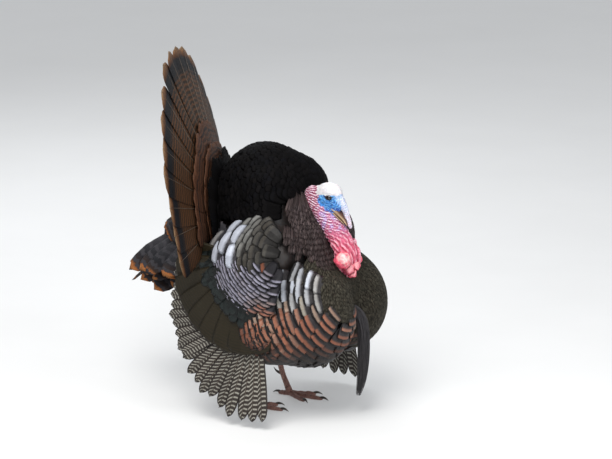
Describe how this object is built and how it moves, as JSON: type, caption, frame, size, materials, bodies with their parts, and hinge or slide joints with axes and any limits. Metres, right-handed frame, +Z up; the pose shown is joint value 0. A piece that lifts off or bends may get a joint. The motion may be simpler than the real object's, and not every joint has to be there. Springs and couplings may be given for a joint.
{
  "type": "wild turkey gobbler in strut, life-size model",
  "caption": "Life-size still model of a male wild turkey in full strut: fanned tail, puffed body, drooped wings, bare head with snood, beard.",
  "frame": {"origin": "on the floor, below the middle of the bird's box", "axes": "+X the way the bird faces, +Y its left, +Z up"},
  "size_m": [0.6428, 0.6158, 0.8309],
  "materials": {
    "feathers_body": "soft feather vanes with a bronze to copper gloss and black edges",
    "feathers_wing": "broad feather vanes, silver grey and bronze with black edges",
    "feathers_tertial": "smooth olive-brown feather vanes",
    "feathers_barred": "flight feathers barred white and black-brown",
    "feathers_tail": "brown tail feathers with fine bars, a dark band and a chestnut tip",
    "feathers_rust": "rusty chestnut covert feathers",
    "feathers_under": "soft charcoal feathers with orange tips",
    "feathers_leg": "short dark brown feathers",
    "skin_bare": "bare grained skin, white, blue and red",
    "skin_caruncle": "bare smooth red skin lobes",
    "skin_snood": "bare wrinkled pale skin",
    "horn_bill": "horn, satin",
    "eye_dark": "wet, glossy",
    "beard_bristle": "coarse hair-like bristles",
    "leg_scales": "scaly horny skin",
    "claw_horn": "dark horn, satin"
  },
  "bodies": {
    "root": {"trunk": "feathers_body", "wing_left": "feathers_wing", "wing_right": "feathers_wing", "tertials_left": "feathers_tertial", "tertials_right": "feathers_tertial", "secondaries_left": "feathers_barred", "secondaries_right": "feathers_barred", "primaries_left": "feathers_barred", "primaries_right": "feathers_barred", "tail_fan": "feathers_tail", "tail_coverts_upper": "feathers_rust", "tail_coverts_under": "feathers_under", "thigh_left": "feathers_leg", "thigh_right": "feathers_leg", "head": "skin_bare", "neck": "skin_bare", "caruncles": "skin_caruncle", "snood": "skin_snood", "bill_upper": "horn_bill", "bill_lower": "horn_bill", "eye_left": "eye_dark", "eye_right": "eye_dark", "beard": "beard_bristle", "foot_left": "leg_scales", "foot_right": "leg_scales", "claw_left_1": "claw_horn", "claw_left_2": "claw_horn", "claw_left_3": "claw_horn", "claw_left_4": "claw_horn", "claw_right_1": "claw_horn", "claw_right_2": "claw_horn", "claw_right_3": "claw_horn", "claw_right_4": "claw_horn", "spur_left": "claw_horn", "spur_right": "claw_horn"}
  },
  "joints": []
}
